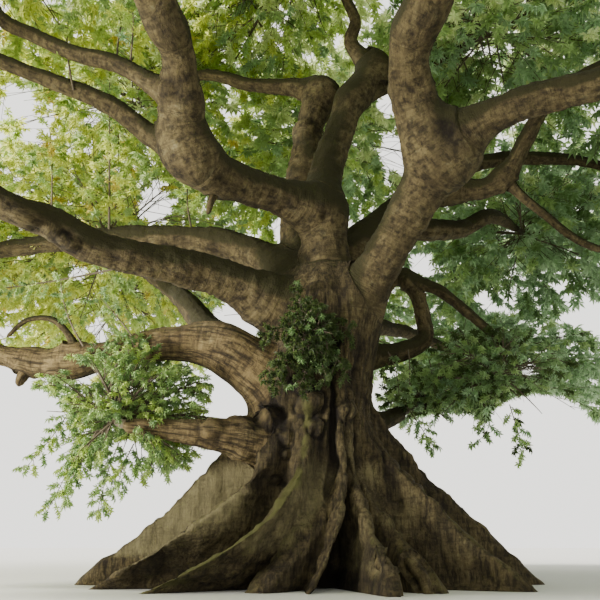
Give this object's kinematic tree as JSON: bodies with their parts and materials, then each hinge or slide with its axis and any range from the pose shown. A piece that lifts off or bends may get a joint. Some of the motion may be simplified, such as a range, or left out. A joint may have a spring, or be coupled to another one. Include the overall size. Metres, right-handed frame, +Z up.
{
  "type": "kapok tree",
  "caption": "Spreading tropical shade tree with a buttressed, hollowed trunk, wide tapering boughs and open masses of leaf sprays.",
  "frame": {"origin": "centre of the flat cut under the trunk, at ground level", "axes": "+Z up along the trunk, +Y away from the viewer of the reference view, +X to the viewer's right"},
  "size_m": [31.582, 30.5579, 19.338],
  "materials": {
    "bark": "rough, ridged bark",
    "foliage": "matt leaves"
  },
  "bodies": {
    "root": {"trunk": "bark", "left_front": "bark", "left_back": "bark", "left_middle": "bark", "left_riser": "bark", "left_low": "bark", "leader": "bark", "upper_left": "bark", "upper_left_rising": "bark", "upper_left_low": "bark", "upper_left_high": "bark", "upper_left_fore": "bark", "back_leader": "bark", "leader_left": "bark", "leader_right": "bark", "back_left_high": "bark", "rear_high": "bark", "right": "bark", "right_rising": "bark", "right_outer": "bark", "right_fore": "bark", "right_back": "bark", "right_mid": "bark", "right_far": "bark", "right_thin": "bark", "right_low": "bark", "right_low_curl": "bark", "right_low_outer": "bark", "right_stub": "bark", "rear_left": "bark", "rear": "bark", "rear_right": "bark", "crown_top": "foliage", "crown_right": "foliage", "crown_rear": "foliage", "crown_rear_left": "foliage", "crown_left": "foliage", "crown_front_left": "foliage", "crown_front_right": "foliage", "skirt_right_low": "foliage", "skirt_right": "foliage", "skirt_right_rear": "foliage", "skirt_rear_right": "foliage", "skirt_rear_low": "foliage", "skirt_rear": "foliage", "skirt_rear_left": "foliage", "skirt_left_rear": "foliage", "skirt_left_low": "foliage", "skirt_left": "foliage", "crown_left_low": "foliage", "skirt_front_left": "foliage", "skirt_front_right": "foliage", "skirt_right_fore": "foliage", "crown_inner_left": "foliage", "low_left_sprays": "foliage", "low_right_sprays": "foliage", "stub_sprays": "foliage", "trunk_shoots": "foliage"}
  },
  "joints": []
}
